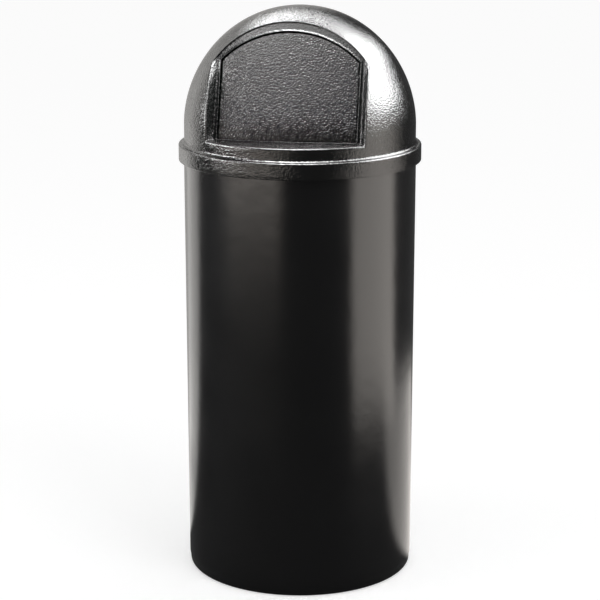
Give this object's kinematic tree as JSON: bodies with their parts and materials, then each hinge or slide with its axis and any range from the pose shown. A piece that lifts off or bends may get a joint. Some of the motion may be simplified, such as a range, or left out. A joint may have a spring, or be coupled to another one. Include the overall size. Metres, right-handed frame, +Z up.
{
  "type": "dome top waste receptacle",
  "caption": "Tall round waste container with a lift-off dome lid; an arched doorway is recessed in the dome and closed from inside by a self-closing push door.",
  "frame": {"origin": "centre of the foot, on the floor", "axes": "+Z up; the doorway faces -Y and +X is to the right of a person facing the doorway"},
  "size_m": [0.3906, 0.3906, 0.927],
  "materials": {
    "container_plastic": "smooth semi-gloss moulded polyethylene",
    "lid_plastic": "fine pebbled moulded polyethylene",
    "door_plastic": "pebbled moulded polyethylene",
    "rubber": "matt",
    "nylon": "natural nylon",
    "steel": "drawn stainless rod",
    "spring_steel": "bright stainless wire"
  },
  "bodies": {
    "container": {"container_body": "container_plastic", "bag_retainer_band": "rubber"},
    "lid": {"dome_top": "lid_plastic", "hinge_rod": "steel", "hinge_washer_left": "nylon", "hinge_washer_right": "nylon", "push_nut_left": "spring_steel", "push_nut_right": "spring_steel", "hinge_spring_left": "spring_steel", "hinge_spring_right": "spring_steel", "door_bumper_left": "rubber", "door_bumper_right": "rubber"},
    "door": {"push_door": "door_plastic"}
  },
  "joints": [
    {"name": "lid_lift", "type": "slide", "parent": "container", "child": "lid", "axis": [0, 0, 1], "range_m": [0, 0.08]},
    {"name": "door_swing", "type": "hinge", "parent": "lid", "child": "door", "pos_m": [0, -0.05697, 0.89011], "axis": [1, 0, 0], "range_deg": [0, 70], "stiffness_Nm_per_rad": 0.15, "springref_deg": -68.75, "deforming": ["hinge_spring_left", "hinge_spring_right"]}
  ]
}
